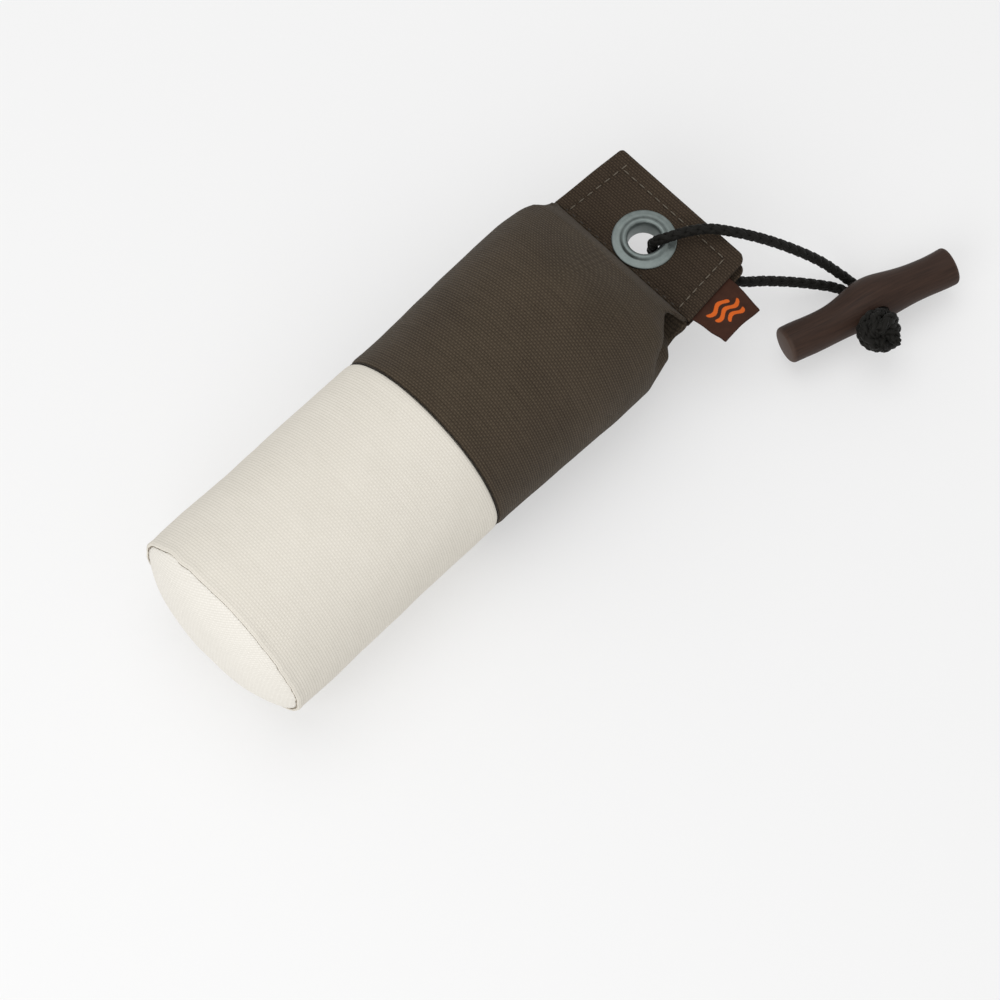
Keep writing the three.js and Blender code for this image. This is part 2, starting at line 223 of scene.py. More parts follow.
def braid(bm, layer, route, size=1.0, sides=8):
    """Three strands each way round the route, over and under in turn."""
    frames = frames_along(route)
    distance = [0.0]
    for p, q in zip(route, route[1:]):
        distance.append(distance[-1] + (q - p).length)
    for way in (1, -1):
        for k in range(STRANDS_EACH_WAY):
            places, outward = [], []
            for point, at, (_, side, up) in zip(route, distance, frames):
                turn = 2 * math.pi * at / CORD_LAY
                angle = way * turn + k * 2 * math.pi / STRANDS_EACH_WAY
                out = side * math.cos(angle) + up * math.sin(angle)
                crossing = STRAND_CROSSING * way * math.cos(STRANDS_EACH_WAY * turn)
                places.append(point + out * size * (STRAND_REACH + crossing))
                outward.append(out)
            strand = sweep(bm, layer, places, STRAND_HALF_WIDE * size, STRAND_HALF_THICK * size,
                           outward, sides)
            bmesh.ops.remove_doubles(bm, verts=strand, dist=STRAND_MERGE)


def finish_piece(name, bm, material, body):
    bmesh.ops.recalc_face_normals(bm, faces=bm.faces)
    if max(bm.verts, key=lambda vertex: vertex.co.z).normal.z < 0:
        bmesh.ops.reverse_faces(bm, faces=bm.faces)
    for face in bm.faces:
        face.smooth = True
    mesh = bpy.data.meshes.new(name)
    bm.to_mesh(mesh)
    bm.free()
    mesh.materials.append(material)
    piece = bpy.data.objects.new(name, mesh)
    scene.collection.objects.link(piece)
    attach(piece, body)
    return piece


def two_tones(tree, share, low, high, start=0.0, stop=1.0):
    """A colour that runs from low to high as share goes from start to stop."""
    ramp = wire(tree, "ValToRGB", {"Fac": share})
    ends = ramp.color_ramp.elements
    ends[0].position, ends[0].color = start, (*low, 1)
    ends[1].position, ends[1].color = stop, (*high, 1)
    return ramp.outputs["Color"]


def give_relief(tree, shader, height, strength, distance=0.0001, invert=False):
    """Stand the surface out by height, as far as distance in metres."""
    relief = wire(tree, "Bump", {"Height": height, "Strength": strength, "Distance": distance},
                  invert=invert)
    tree.links.new(relief.outputs["Normal"], shader.inputs["Normal"])


def cord_finish():
    material, tree, shader = finish_material("black_braid")
    strand_uv = wire(tree, "UVMap", uv_map="strand").outputs["UV"]
    stretched = wire(tree, "Mapping", {"Vector": strand_uv, "Scale": (26, 0.9, 1)})
    fibres = wire(tree, "TexNoise", {"Vector": stretched.outputs["Vector"], "Scale": 2.0,
                                     "Detail": 3}).outputs["Fac"]
    tone = two_tones(tree, fibres, (0.002, 0.0018, 0.0015), (0.013, 0.012, 0.0095))
    tree.links.new(tone, shader.inputs["Base Color"])
    give_relief(tree, shader, fibres, 0.6)
    shader.inputs["Roughness"].default_value = 0.6
    shader.inputs["Specular IOR Level"].default_value = 0.14
    shader.inputs["Sheen Weight"].default_value = 0.02
    return material


black_braid = cord_finish()
EYELET_PASS = (102.2, -2.8, 32.5)
THROUGH_TOGGLE = (-9.2, 0, 10)
upper_route = smooth_route([
    EYELET_PASS, (102.2, -2.8, 34.9), (102.9, -3.8, 37.2), (104.8, -5.4, 38.5),
    (110.5, -8.6, 39.2), (116, -12.6, 39.2), (121.6, -18.6, 37.5), (128.4, -25.4, 32.6),
    (135.6, -31.8, 24.6), (142.4, -37.8, 15.2), (146.6, -42.8, 7.9), (148.6, -46.8, 4.3),
    *(from_toggle(STRAND_SHIFT, through) for through in THROUGH_TOGGLE)], ROUTE_STEP)
lower_route = smooth_route([
    EYELET_PASS, (102.2, -2.8, 30), (102.9, -3.8, 27.8), (104.8, -6.2, 26.5), (108.6, -13, 26),
    (112.2, -20.6, 25.2), (116.5, -27, 22.9), (123.8, -31.2, 18.6), (131.8, -36, 13.2),
    (139.2, -41, 7.7), (143.6, -44.6, 4.4), (144.9, -47.4, 4),
    *(from_toggle(-STRAND_SHIFT, through) for through in THROUGH_TOGGLE)], ROUTE_STEP)

for run_name, route in (("cord_upper", upper_route), ("cord_lower", lower_route)):
    bm = bmesh.new()
    braid(bm, bm.loops.layers.uv.new("strand"), route)
    close_ends(bm, [], 8)
    piece = finish_piece(run_name, bm, black_braid, "loop")
    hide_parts(run_name + "_run")


# ---- Knot ----
# Both cord ends tied together in an overhand knot and pulled hard down on the toggle, so
# the turns bed into each other. The two cut ends are melted and stand just proud of it.
KNOT_SHIFT = (-3.6, -1.2, 13.4)
KNOT_POINTS = 160
toggle_crossways = toggle_hole.cross(toggle_along)


def knot_place(across, over, through):
    return (TOGGLE_CENTRE + toggle_along * (across + KNOT_SHIFT[0])
            + toggle_crossways * (over + KNOT_SHIFT[1]) + toggle_hole * (through + KNOT_SHIFT[2]))


def overhand(turned, shrink, nearer):
    """One pass of the cord round an overhand knot."""
    made = []
    for k in range(KNOT_POINTS + 1):
        t = 2 * math.pi * k / KNOT_POINTS
        ring = (3.75 + 1.75 * math.cos(3 * t)) * shrink
        angle = 2 * t + turned
        made.append(knot_place(ring * math.cos(angle), ring * math.sin(angle),
                               3.1 * shrink * math.sin(3 * t) - nearer))
    return made


bm = bmesh.new()
layer = bm.loops.layers.uv.new("strand")
for turned, shrink, nearer, size in ((0.4, 1.02, 0, 1.12), (1.45, 0.94, 0.8, 1.1),
                                     (0.9, 0.5, -0.6, 1.1)):
    braid(bm, layer, overhand(turned, shrink, nearer), size=size, sides=6)
for lean, reach in ((1.0, 6.6), (-1.0, 6.2)):
    stub = smooth_route([knot_place(0.6 * lean, 0.4, 1), knot_place(1.7 * lean, -1.4, 4),
                         knot_place(2.6 * lean, -2.6, reach)], 0.5)
    braid(bm, layer, stub, size=0.85, sides=6)
close_ends(bm, [], 6)
knot = finish_piece("knot", bm, black_braid, "loop")
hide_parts("cord_knot")


# ---- Toggle ----
# A solid moulded toggle, finished like dark horn: swollen round the cord hole, with
# slightly wavering arms and square ends whose edges are rubbed round.
def toggle_finish():
    material, tree, shader = finish_material("dark_horn")
    along = wire(tree, "UVMap", uv_map="grain").outputs["UV"]
    streak_map = wire(tree, "Mapping", {"Vector": along, "Scale": (0.035, 0.5, 1)})
    streaks = wire(tree, "TexNoise", {"Vector": streak_map.outputs["Vector"], "Scale": 2.4,
                                      "Detail": 6, "Roughness": 0.6}).outputs["Fac"]
    tone = two_tones(tree, streaks, (0.0225, 0.0115, 0.0075), (0.048, 0.025, 0.0163), 0.3, 0.75)
    rubbed = wire(tree, "Attribute", attribute_name="rubbed").outputs["Fac"]
    edge = wire(tree, "Mix", {"Factor": rubbed, "A": tone, "B": (0.08, 0.05, 0.037, 1)},
                data_type="RGBA")
    tree.links.new(edge.outputs["Result"], shader.inputs["Base Color"])
    place = wire(tree, "TexCoord").outputs["Object"]
    pits = wire(tree, "TexNoise", {"Vector": place, "Scale": 1400, "Detail": 4}).outputs["Fac"]
    give_relief(tree, shader, pits, 0.25)
    gloss = wire(tree, "MapRange", {"Value": streaks, "To Min": 0.5, "To Max": 0.64})
    tree.links.new(gloss.outputs["Result"], shader.inputs["Roughness"])
    shader.inputs["Specular IOR Level"].default_value = 0.2
    return material


TOGGLE_HALF, TOGGLE_RADIUS, TOGGLE_EDGE = 30, 6.0, 1.3
TOGGLE_SWELL, SWELL_HALF, SWELL_SIDE = 2.3, 9.5, math.radians(125)
TOGGLE_SIDES, TOGGLE_RINGS = 64, 120


def toggle_place(along, angle):
    swell = TOGGLE_SWELL * math.exp(-(along / SWELL_HALF) ** 2)
    lopsided = 0.62 + 0.38 * math.cos(angle - SWELL_SIDE)
    radius = TOGGLE_RADIUS + swell * lopsided + 0.18 * math.sin(along * 0.21 + 0.6)
    from_end = TOGGLE_HALF - abs(along)
    if from_end < TOGGLE_EDGE:
        past = (TOGGLE_EDGE - from_end) / TOGGLE_EDGE
        radius -= TOGGLE_EDGE * (1 - math.sqrt(max(0.0, 1 - past ** 2)))
    radius *= 1 + 0.025 * math.cos(2 * angle + 0.5 + along * 0.05)
    waver = 0.45 * math.sin(along * 0.13 + 0.4) * min(1, from_end / 8)
    return (TOGGLE_CENTRE + toggle_along * along
            + toggle_hole * radius * math.cos(angle)
            + toggle_crossways * (radius * math.sin(angle) + waver))


def toggle_along_at(t):
    """Closer spaced towards the ends, where the edges turn."""
    return TOGGLE_HALF * 0.99999 * (-0.55 * math.cos(t * math.pi) + 0.45 * (2 * t - 1))


bm = bmesh.new()
grain = bm.loops.layers.uv.new("grain")
verts = lay_grid(bm, grain, TOGGLE_SIDES, TOGGLE_RINGS,
                 lambda s, t: toggle_place(toggle_along_at(t), 2 * math.pi * s),
                 lambda s, t: (toggle_along_at(t), s * 44))
close_ends(bm, verts, TOGGLE_SIDES)
rubbed = bm.verts.layers.float.new("rubbed")
for vertex in bm.verts:
    along = (vertex.co * 1000 - TOGGLE_CENTRE).dot(toggle_along)
    vertex[rubbed] = 0.75 * max(0.0, 1 - (TOGGLE_HALF - abs(along)) / TOGGLE_EDGE)
toggle = finish_piece("toggle_body", bm, toggle_finish(), "toggle")

bm = bmesh.new()
HOLE_OUTLINE = [(0.0, -14), (5.6, -14), (5.2, -8.8), (4.3, -7.6), (3.9, -6.6), (3.7, -5.6),
                (3.65, 5.6), (3.65, 6.6), (3.65, 7.4), (3.7, 8.2), (3.8, 14), (0.0, 14)]
HOLE_NARROWING = 0.7
drill_line = [bm.verts.new((r, 0, z)) for r, z in HOLE_OUTLINE]
drill_edges = [bm.edges.new(pair) for pair in zip(drill_line, drill_line[1:])]
bmesh.ops.spin(bm, geom=drill_line + drill_edges, cent=(0, 0, 0), axis=(0, 0, 1), dvec=(0, 0, 0),
               angle=2 * math.pi, steps=48, use_merge=True, use_duplicate=False)
bmesh.ops.remove_doubles(bm, verts=bm.verts, dist=1e-5)
hole_turn = Matrix((toggle_along, toggle_crossways, toggle_hole)).transposed().to_4x4()
hole_place = Matrix.Scale(0.001, 4) @ Matrix.Translation(TOGGLE_CENTRE) @ hole_turn
bmesh.ops.transform(bm, matrix=hole_place @ Matrix.Diagonal((1, HOLE_NARROWING, 1, 1)),
                    verts=bm.verts)
bmesh.ops.recalc_face_normals(bm, faces=bm.faces)
drill_mesh = bpy.data.meshes.new("drill")
bm.to_mesh(drill_mesh)
bm.free()
drill = bpy.data.objects.new("drill", drill_mesh)
scene.collection.objects.link(drill)
cut = toggle.modifiers.new("cord_hole", "BOOLEAN")
cut.operation = "DIFFERENCE"
cut.object = drill
cut.solver = "EXACT"


def settle(piece):
    """Keep the shape that the piece's modifiers give it, and drop the modifiers."""
    settled = bpy.data.meshes.new_from_object(
        piece.evaluated_get(bpy.context.evaluated_depsgraph_get()))
    piece.modifiers.clear()
    spare, piece.data = piece.data, settled
    settled.name = piece.name
    bpy.data.meshes.remove(spare)


settle(toggle)
bpy.data.objects.remove(drill)
toggle.data.set_sharp_from_angle(angle=math.radians(38))
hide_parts("toggle")


# ---- Canvas, as woven ----
# Cotton canvas in a plain weave: each thread goes over one and under one. The finish reads
# a map that counts threads, so the weave follows the cloth round the body and over the tab.
def worked(tree, operation, *values):
    """A Math node's answer for these numbers or sockets."""
    return wire(tree, "Math", dict(enumerate(values)), operation=operation).outputs[0]


def plain_weave():
    group = bpy.data.node_groups.new("plain_weave", "ShaderNodeTree")
    group.interface.new_socket("Threads", in_out="INPUT", socket_type="NodeSocketVector")
    group.interface.new_socket("Height", in_out="OUTPUT", socket_type="NodeSocketFloat")
    group.interface.new_socket("Slub", in_out="OUTPUT", socket_type="NodeSocketFloat")
    entry = group.nodes.new("NodeGroupInput")
    leave = group.nodes.new("NodeGroupOutput")

    parts = wire(group, "SeparateXYZ", {"Vector": entry.outputs["Threads"]})
    warp, weft = parts.outputs["X"], parts.outputs["Y"]
    warp_crown, weft_crown = (
        worked(group, "SINE", worked(group, "MULTIPLY", worked(group, "FRACT", thread), math.pi))
        for thread in (warp, weft))
    cells = worked(group, "ADD", worked(group, "FLOOR", warp), worked(group, "FLOOR", weft))
    over = worked(group, "ABSOLUTE", worked(group, "MODULO", cells, 2.0))
    rib_height = wire(group, "Mix", {"Factor": over, "A": 0.6, "B": 1.0},
                      data_type="FLOAT").outputs["Result"]
    rib = worked(group, "MULTIPLY", worked(group, "POWER", weft_crown, 0.7), rib_height)
    height = worked(group, "MULTIPLY", rib, worked(group, "MULTIPLY_ADD", warp_crown, 0.45, 0.55))
    group.links.new(height, leave.inputs["Height"])
    drawn_out = wire(group, "Mapping", {"Vector": entry.outputs["Threads"],
                                        "Scale": (0.045, 0.9, 1)})
    slubs = wire(group, "TexNoise", {"Vector": drawn_out.outputs["Vector"], "Scale": 1.0,
                                     "Detail": 2})
    group.links.new(slubs.outputs["Fac"], leave.inputs["Slub"])
    return group


weave_group = plain_weave()


def canvas_finish(name, low, high, fleck=None, depth=0.00026, sheen=0.01):
    """Cloth coloured from low, deep between threads, to high, on their crowns: painted shade in the
    weave's gaps, mixed with the cloth's own slubs, patches and fuzz.
    """
    material, tree, shader = finish_material(name)
    threads = wire(tree, "UVMap", uv_map="weave").outputs["UV"]
    woven = wire(tree, "Group", {}, node_tree=weave_group)
    tree.links.new(threads, woven.inputs["Threads"])
    place = wire(tree, "TexCoord").outputs["Object"]
    patches = wire(tree, "TexNoise", {"Vector": place, "Scale": 38, "Detail": 5,
                                      "Roughness": 0.6}).outputs["Fac"]
    fuzz = wire(tree, "TexNoise", {"Vector": place, "Scale": 2600, "Detail": 2}).outputs["Fac"]
    height = woven.outputs["Height"]
    # The weave's height darkens the colour between the threads: painted shade.
    tone = worked(tree, "MULTIPLY", height, 0.42)
    for source, share in ((woven.outputs["Slub"], 0.2), (patches, 0.26), (fuzz, 0.3)):
        tone = worked(tree, "MULTIPLY_ADD", source, share, tone)
    colour = two_tones(tree, tone, low, high, 0.3, 0.85)
    if fleck:
        specks = wire(tree, "TexVoronoi", {"Vector": place, "Scale": 210})
        dot = worked(tree, "LESS_THAN", specks.outputs["Distance"], 0.17)
        chosen = wire(tree, "SeparateColor", {"Color": specks.outputs["Color"]}).outputs["Red"]
        mask = worked(tree, "MULTIPLY", dot, worked(tree, "GREATER_THAN", chosen, 0.985))
        mixed = wire(tree, "Mix", {"Factor": worked(tree, "MULTIPLY", mask, 0.55), "A": colour,
                                   "B": (*fleck, 1)}, data_type="RGBA")
        colour = mixed.outputs["Result"]
    tree.links.new(colour, shader.inputs["Base Color"])
    give_relief(tree, shader, worked(tree, "MULTIPLY_ADD", fuzz, 0.3, height), 0.75, depth)
    shader.inputs["Roughness"].default_value = 0.93
    shader.inputs["Specular IOR Level"].default_value = 0.12
    shader.inputs["Sheen Weight"].default_value = sheen
    return material


HUSK_BROWN, WHITE_DEPTH = (0.25, 0.2, 0.14), 0.00014
white_canvas = canvas_finish("white_canvas", (0.64, 0.603, 0.528), (0.775, 0.735, 0.66),
                             HUSK_BROWN, WHITE_DEPTH)
olive_canvas = canvas_finish("olive_canvas", (0.0205, 0.0142, 0.0088), (0.092, 0.070, 0.047),
                             sheen=0.05)


# ---- White sleeve ----
# The round-end half of the body: off-white canvas cut flat, rolled into a tube and closed
# along the belly. Its round end is turned out in a small lip where the end disc is sewn in.
CANVAS = 0.75
THREADS_ROUND, THREAD_PITCH = 344, 0.86
AXIS_Z, TAB_Z = 31.4, 32.5
BASE_X, BORDER_X, BELLY_END_X, CORNER_X, THROAT_X = -75.0, 6.5, 56.0, 82.0, 91.0
BODY_RADIUS, SHOULDER_RADIUS, CORNER_HALF_THICK = 32.4, 33.9, 19.5
THROAT_HALF, CREASE_Y = 28.3, 3.5
PLY_OUTER, POCKET = 2.15, 0.5
LOWEST = 0.02
SEAM_MERGE = 1e-6


def ease(t):
    t = min(max(t, 0.0), 1.0)
    return t * t * (3 - 2 * t)


def blend_to(a, b, t):
    return a + (b - a) * t


def body_place(x, turn, inset, scale=1.0):
    """A point of the body in millimetres: turn 0 is the top, a quarter the +Y side.

    q runs from 0, on the middle of the front or back, to 8, on the middle of a side.
    """
    i = (turn % 1.0) * 32
    half = i % 16
    q = half if half <= 8 else 16 - half
    angle = math.radians(48 * q / 4 if q <= 4 else 48 + 42 * (q - 4) / 4)
    radius = blend_to(BODY_RADIUS, SHOULDER_RADIUS, ease((x - 5) / 55)) - inset
    radius += 0.35 * ease((-30 - x) / 40)
    y, z = radius * math.sin(angle), radius * math.cos(angle)
    to_corner = min(max((x - BELLY_END_X) / (CORNER_X - BELLY_END_X), 0), 1)
    to_throat = min(max((x - CORNER_X) / (THROAT_X - CORNER_X), 0), 1)
    corner_y = (SHOULDER_RADIUS - inset) * math.sin(angle) ** (2 / 3)
    corner_z = (CORNER_HALF_THICK - inset) * max(math.cos(angle), 0) ** (2 / 3)
    if to_throat > 0:
        over_edge = ease((q - 3.4) / 1.2)
        if q < 4:
            fold_y = THROAT_HALF * q / 4
        else:
            fold_y = blend_to(THROAT_HALF, CREASE_Y, (q - 4) / 4)
        fold_z = blend_to(PLY_OUTER - inset, POCKET + inset, over_edge)
        y = blend_to(corner_y, fold_y, ease(to_throat))
        z = blend_to(corner_z, fold_z, to_throat ** 1.35)
    elif to_corner > 0:
        y = blend_to(y, corner_y, ease(to_corner))
        z = blend_to(z, corner_z, 1 - math.cos(to_corner * math.pi / 2))
    hollow = ease((x - 69) / 13) * (1 - 0.6 * to_throat)
    y -= 8.5 * hollow * math.exp(-((8 - q) / 1.5) ** 2)
    right = 1 if i < 16 else -1
    upper = 1 if i < 8 or i > 24 else -1
    if right > 0:
        pinch = 1.8 * math.exp(-((x - 84.5) / 4.5) ** 2)
    elif upper > 0:
        pinch = 5.2 * math.exp(-((x - 83.5) / 4.7) ** 2)
    else:
        pinch = 1.9 * math.exp(-((x - 85) / 7) ** 2)
    y -= pinch * (1 - ease((x - 87.5) / 3.2)) * min(1, y / 30) ** 2
    height = max(upper * z, inset - AXIS_Z)
    lift = (TAB_Z - AXIS_Z) * ease((x - BELLY_END_X) / (THROAT_X - BELLY_END_X))
    return Vector((x, right * y * scale, AXIS_Z + lift + height * scale))


def along_line(line, t):
    """The entry at share t of the length of a line of (x, inset, ...) entries."""
    run = [0.0]
    for p, q in zip(line, line[1:]):
        run.append(run[-1] + max(math.dist(p, q), 1e-6))
    at = t * run[-1]
    i = min(max(bisect.bisect_right(run, at) - 1, 0), len(line) - 2)
    share = (at - run[i]) / (run[i + 1] - run[i])
    return [blend_to(a, b, share) for a, b in zip(line[i], line[i + 1])], run[-1]


def closed_up(name, across, along, place, chart, material, layer="weave"):
    """A grid laid in its shape, with the edges that meet sewn together."""
    bm = bmesh.new()
    verts = lay_grid(bm, bm.loops.layers.uv.new(layer), across, along, place, chart)
    bmesh.ops.remove_doubles(bm, verts=verts, dist=SEAM_MERGE)
    return finish_piece(name, bm, material, "bumper")


def thicken(piece, thickness, offset=-1):
    """Give cloth its thickness: inwards from its face, or about its middle at offset 0."""
    wall = piece.modifiers.new("thickness", "SOLIDIFY")
    wall.thickness = thickness * 0.001
    wall.offset = offset


def sleeve(name, line, around, along, material, crumple):
    """Canvas cut flat, rolled round the body and sewn along the belly."""
    length = along_line(line, 1)[1]

    def place(s, t):
        (x, inset), _ = along_line(line, t)
        return crumple(body_place(x, s + 0.5, inset), x, s + 0.5)

    piece = closed_up(name, around, along, place,
                      lambda s, t: (s * THREADS_ROUND, t * length / THREAD_PITCH), material)
    thicken(piece, CANVAS)
    return piece


def body_out(turn):
    a = 2 * math.pi * turn
    return Vector((0, math.sin(a), math.cos(a)))


def slack_at(place, turn):
    """How far the filled cloth stands off its even shape here."""
    bulge = noise.noise(place * 0.045) * 0.5 + noise.noise(place * 0.15) * 0.13
    return body_out(turn) * (bulge * ease((place.z - 4) / 16))


def mouth_pull(x, turn):
    """Small puckers that the round-end seam leaves in the cloth beside it."""
    near_seam = math.exp(-((x - BASE_X) / 3.5) ** 2)
    outwards = 0.28 * noise.noise(body_out(turn) * 9)
    endwards = 0.55 * noise.noise(body_out(turn) * 6.5 + Vector((3, 0, 0)))
    return (body_out(turn) * outwards + Vector((endwards, 0, 0))) * near_seam


def above_floor(place):
    return Vector((place.x, place.y, max(place.z, LOWEST)))


def white_crumple(place, x, turn):
    return above_floor(place + slack_at(place, turn) + mouth_pull(x, turn))


# Each entry is a station and how far in from the even body the cloth lies there.
white_line = [(BASE_X + 2.4, 1.9), (BASE_X + 0.6, 1.5), (BASE_X - 0.35, 1.1),
              (BASE_X - 0.7, 0.6), (BASE_X - 0.35, 0.12), (BASE_X + 0.6, 0.0),
              (BASE_X + 2, 0.18), (BASE_X + 5, 0.1), (BASE_X + 20, 0.0), (BORDER_X - 3, 0.0),
              (BORDER_X - 1.2, 0.1), (BORDER_X - 0.4, 0.45), (BORDER_X - 0.1, 1.2)]
white_sleeve = sleeve("white_sleeve_cloth", white_line, 224, 140, white_canvas, white_crumple)

SEWN_HOLD, FLOOR_HOLD = 5, 1.5
CLOTH_FRAMES, CLOTH_CAP = 12, 0.0004
CLOTH_FEEL = {"quality": 4, "mass": 0.2, "tension_stiffness": 18, "compression_stiffness": 14,
              "shear_stiffness": 6, "bending_stiffness": 30, "use_pressure": True,
              "uniform_pressure_force": 4}


def fill_out(piece, sewn_from, sewn_to):
    """Let the filling press the cloth out between its sewn ends and off the floor."""
    rest = [vertex.co.copy() for vertex in piece.data.vertices]
    held = piece.vertex_groups.new(name="held")
    for i, co in enumerate(rest):
        x, z = co.x * 1000, co.z * 1000
        seam = max(1 - ease((x - sewn_from) / SEWN_HOLD), 1 - ease((sewn_to - x) / SEWN_HOLD),
                   1 - ease((z - FLOOR_HOLD) / SEWN_HOLD))
        held.add([i], seam, "REPLACE")
    wall = piece.modifiers["thickness"]
    wall.show_viewport = False
    cloth = piece.modifiers.new("filled", "CLOTH")
    cloth.settings.vertex_group_mass = "held"
    for key, value in CLOTH_FEEL.items():
        setattr(cloth.settings, key, value)
    cloth.settings.effector_weights.gravity = 0
    cloth.collision_settings.use_collision = False
    cloth.point_cache.frame_end = CLOTH_FRAMES
    for frame_number in range(1, CLOTH_FRAMES + 1):
        scene.frame_set(frame_number)
    moved = piece.evaluated_get(bpy.context.evaluated_depsgraph_get()).data.vertices
    pressed = [vertex.co.copy() for vertex in moved]
    for vertex, start, end in zip(piece.data.vertices, rest, pressed):
        shift = end - start
        vertex.co = start + shift * (CLOTH_CAP / max(CLOTH_CAP, shift.length))
        vertex.co.z = max(vertex.co.z, LOWEST * 0.001)
    piece.modifiers.remove(cloth)
    piece.vertex_groups.clear()
    wall.show_viewport = True
    scene.frame_set(1)


fill_out(white_sleeve, BASE_X + 3, BORDER_X - 2)
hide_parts("white_sleeve")


# ---- Olive sleeve ----
# The throwing half of the body, in dark olive canvas. Past the shoulder its sides are tucked
# in like a paper bag's, so that front and back come down flat together at the throat.
def olive_crumple(place, x, turn):
    gather = ease((x - 74) / 14) * (1 - ease((x - 89) / 2))
    fold = 0.3 * gather * noise.noise(body_out(turn) * 6 + Vector((x * 0.04, 0, 0)))
    slack = slack_at(place, turn) * (1 - ease((x - 86) / 5))
    return above_floor(place + slack + body_out(turn) * fold)


olive_line = [(BORDER_X + 0.1, 1.2), (BORDER_X + 0.35, 0.5), (BORDER_X + 1.0, 0.05),
              (BORDER_X + 2.2, -0.12), (BORDER_X + 5, 0.0), (40, 0.0), (THROAT_X - 1.2, 0.0),
              (THROAT_X + 0.1, 0.25), (THROAT_X + 0.9, 0.85)]
olive_sleeve = sleeve("olive_sleeve_cloth", olive_line, 256, 140, olive_canvas, olive_crumple)
fill_out(olive_sleeve, BORDER_X + 2, 84)
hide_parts("olive_sleeve")


# ---- End disc ----
# A round of the same off-white canvas, eased into the mouth of the sleeve. The filling
# pushes it out in a low dome, and a groove is left all round where its seam pulls in.
DISC_DOME, DISC_INSET, DISC_ROLL = 7.1, 0.95, 0.05


def end_disc_place(turn, t):
    scale = 1 - t
    edge = ease((scale - 1 + DISC_ROLL) / DISC_ROLL)
    x = BASE_X - 0.35 - DISC_DOME * (1 - scale ** 3) + 0.4 * edge
    place = body_place(BASE_X, turn, DISC_INSET, scale)
    wave = 0.35 * noise.noise(place * 0.07) * (1 - edge)
    settled = place + (slack_at(place, turn) + mouth_pull(BASE_X, turn)) * scale ** 4
    return above_floor(Vector((x + wave, settled.y, settled.z)))


def disc_threads(turn, t):
    """The disc's threads run straight across it, at a slant to the floor."""
    flat = end_disc_place(turn, t) / THREAD_PITCH
    return flat.y * 0.8 - flat.z * 0.6, flat.y * 0.6 + flat.z * 0.8


# The end disc is the same off-white canvas as the sleeve, coloured lighter: painted light on the
# end that faces the key light.
disc_canvas_painted_lit = canvas_finish("disc_canvas_painted_lit", (0.70, 0.668, 0.605), (0.83, 0.80, 0.74),
                            HUSK_BROWN, WHITE_DEPTH)
end_disc = closed_up("end_disc_cloth", 160, 48, end_disc_place, disc_threads, disc_canvas_painted_lit)
thicken(end_disc, CANVAS)
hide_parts("end_disc")


# ---- Seam threads ----
# Two-ply sewing thread, pulled down at every needle hole. A dark one lies in the crease
# between the two sleeves, and a brown one holds the end disc in the mouth of the white one.
def thread_finish(name, low, high):
    material, tree, shader = finish_material(name)
    place = wire(tree, "TexCoord").outputs["Object"]
    fibres = wire(tree, "TexNoise", {"Vector": place, "Scale": 3200, "Detail": 3}).outputs["Fac"]
    tree.links.new(two_tones(tree, fibres, low, high, 0.3, 0.7), shader.inputs["Base Color"])
    give_relief(tree, shader, fibres, 0.5)
    shader.inputs["Roughness"].default_value = 0.7
    shader.inputs["Sheen Weight"].default_value = 0.05
    return material


THREAD_STEP, THREAD_TWIST = 0.55, 3.9
PLY_RADIUS, PLY_APART, PLY_SIDES = 0.15, 0.1, 5


def seam_thread(name, x, inset, step, dip, material, follow):
    """Two plies wound round each other along a seam that runs round the body."""
    girth = 2 * math.pi * 32
    count = round(girth / THREAD_STEP)
    stitches = round(girth / step)
    route = []
    for k in range(count + 1):
        turn = k / count
        depth = inset + dip * max(0.0, math.cos(2 * math.pi * turn * stitches)) ** 6
        place = body_place(x, turn, depth)
        route.append(above_floor(place + follow(place, turn)))
    frames = frames_along(route)
    bm = bmesh.new()
    layer = bm.loops.layers.uv.new("twist")
    for way in (0, math.pi):
        outward = []
        for i, (_, side, up) in enumerate(frames):
            angle = way + i * THREAD_STEP * THREAD_TWIST
            outward.append(side * math.cos(angle) + up * math.sin(angle))
        places = [point + out * PLY_APART for point, out in zip(route, outward)]
        ply = sweep(bm, layer, places, PLY_RADIUS, PLY_RADIUS, outward, PLY_SIDES)
        bmesh.ops.remove_doubles(bm, verts=ply, dist=STRAND_MERGE)
    close_ends(bm, [], 6)
    return finish_piece(name, bm, material, "bumper")


dark_thread = thread_finish("dark_thread", (0.022, 0.017, 0.012), (0.06, 0.048, 0.036))
border_thread = seam_thread("border_thread", BORDER_X, 0.42, 3.4, 0.5, dark_thread, slack_at)
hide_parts("border_seam_thread")

brown_thread = thread_finish("brown_thread", (0.34, 0.28, 0.205), (0.58, 0.50, 0.39))
base_thread = seam_thread("base_thread", BASE_X - 0.4, 1.12, 4.2, 0.3, brown_thread,
                          lambda place, turn: slack_at(place, turn) + mouth_pull(BASE_X, turn))
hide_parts("base_seam_thread")


# ---- Inner bag ----
# A plain calico bag that holds the filling inside the canvas. Its mouth is gathered and
# tied short behind the throat. Each entry is a station, an inset and a reach from the axis.
BAG_CALICO = 0.4
BAG_INSET, BAG_FLAP_INSET, FULL_REACH = 1.45, 2.75, 33.0
bag_line = [(BASE_X + 1.9, BAG_FLAP_INSET, 0), (BASE_X + 1.9, BAG_FLAP_INSET, 16),
            (BASE_X + 2, BAG_FLAP_INSET, 31.5), (BASE_X + 3, BAG_FLAP_INSET, FULL_REACH),
            (BASE_X + 8, BAG_FLAP_INSET, FULL_REACH), (BASE_X + 11, BAG_INSET, FULL_REACH),
            (BORDER_X + 2, BAG_INSET, FULL_REACH), (BELLY_END_X, BAG_INSET, FULL_REACH),
            (70, BAG_INSET, FULL_REACH), (75, BAG_INSET, 31), (77.5, BAG_INSET, 25),
            (78.6, BAG_INSET, 14), (79.4, BAG_INSET, 6.5), (80.8, BAG_INSET, 4.2),
            (83.5, BAG_INSET, 6.2)]


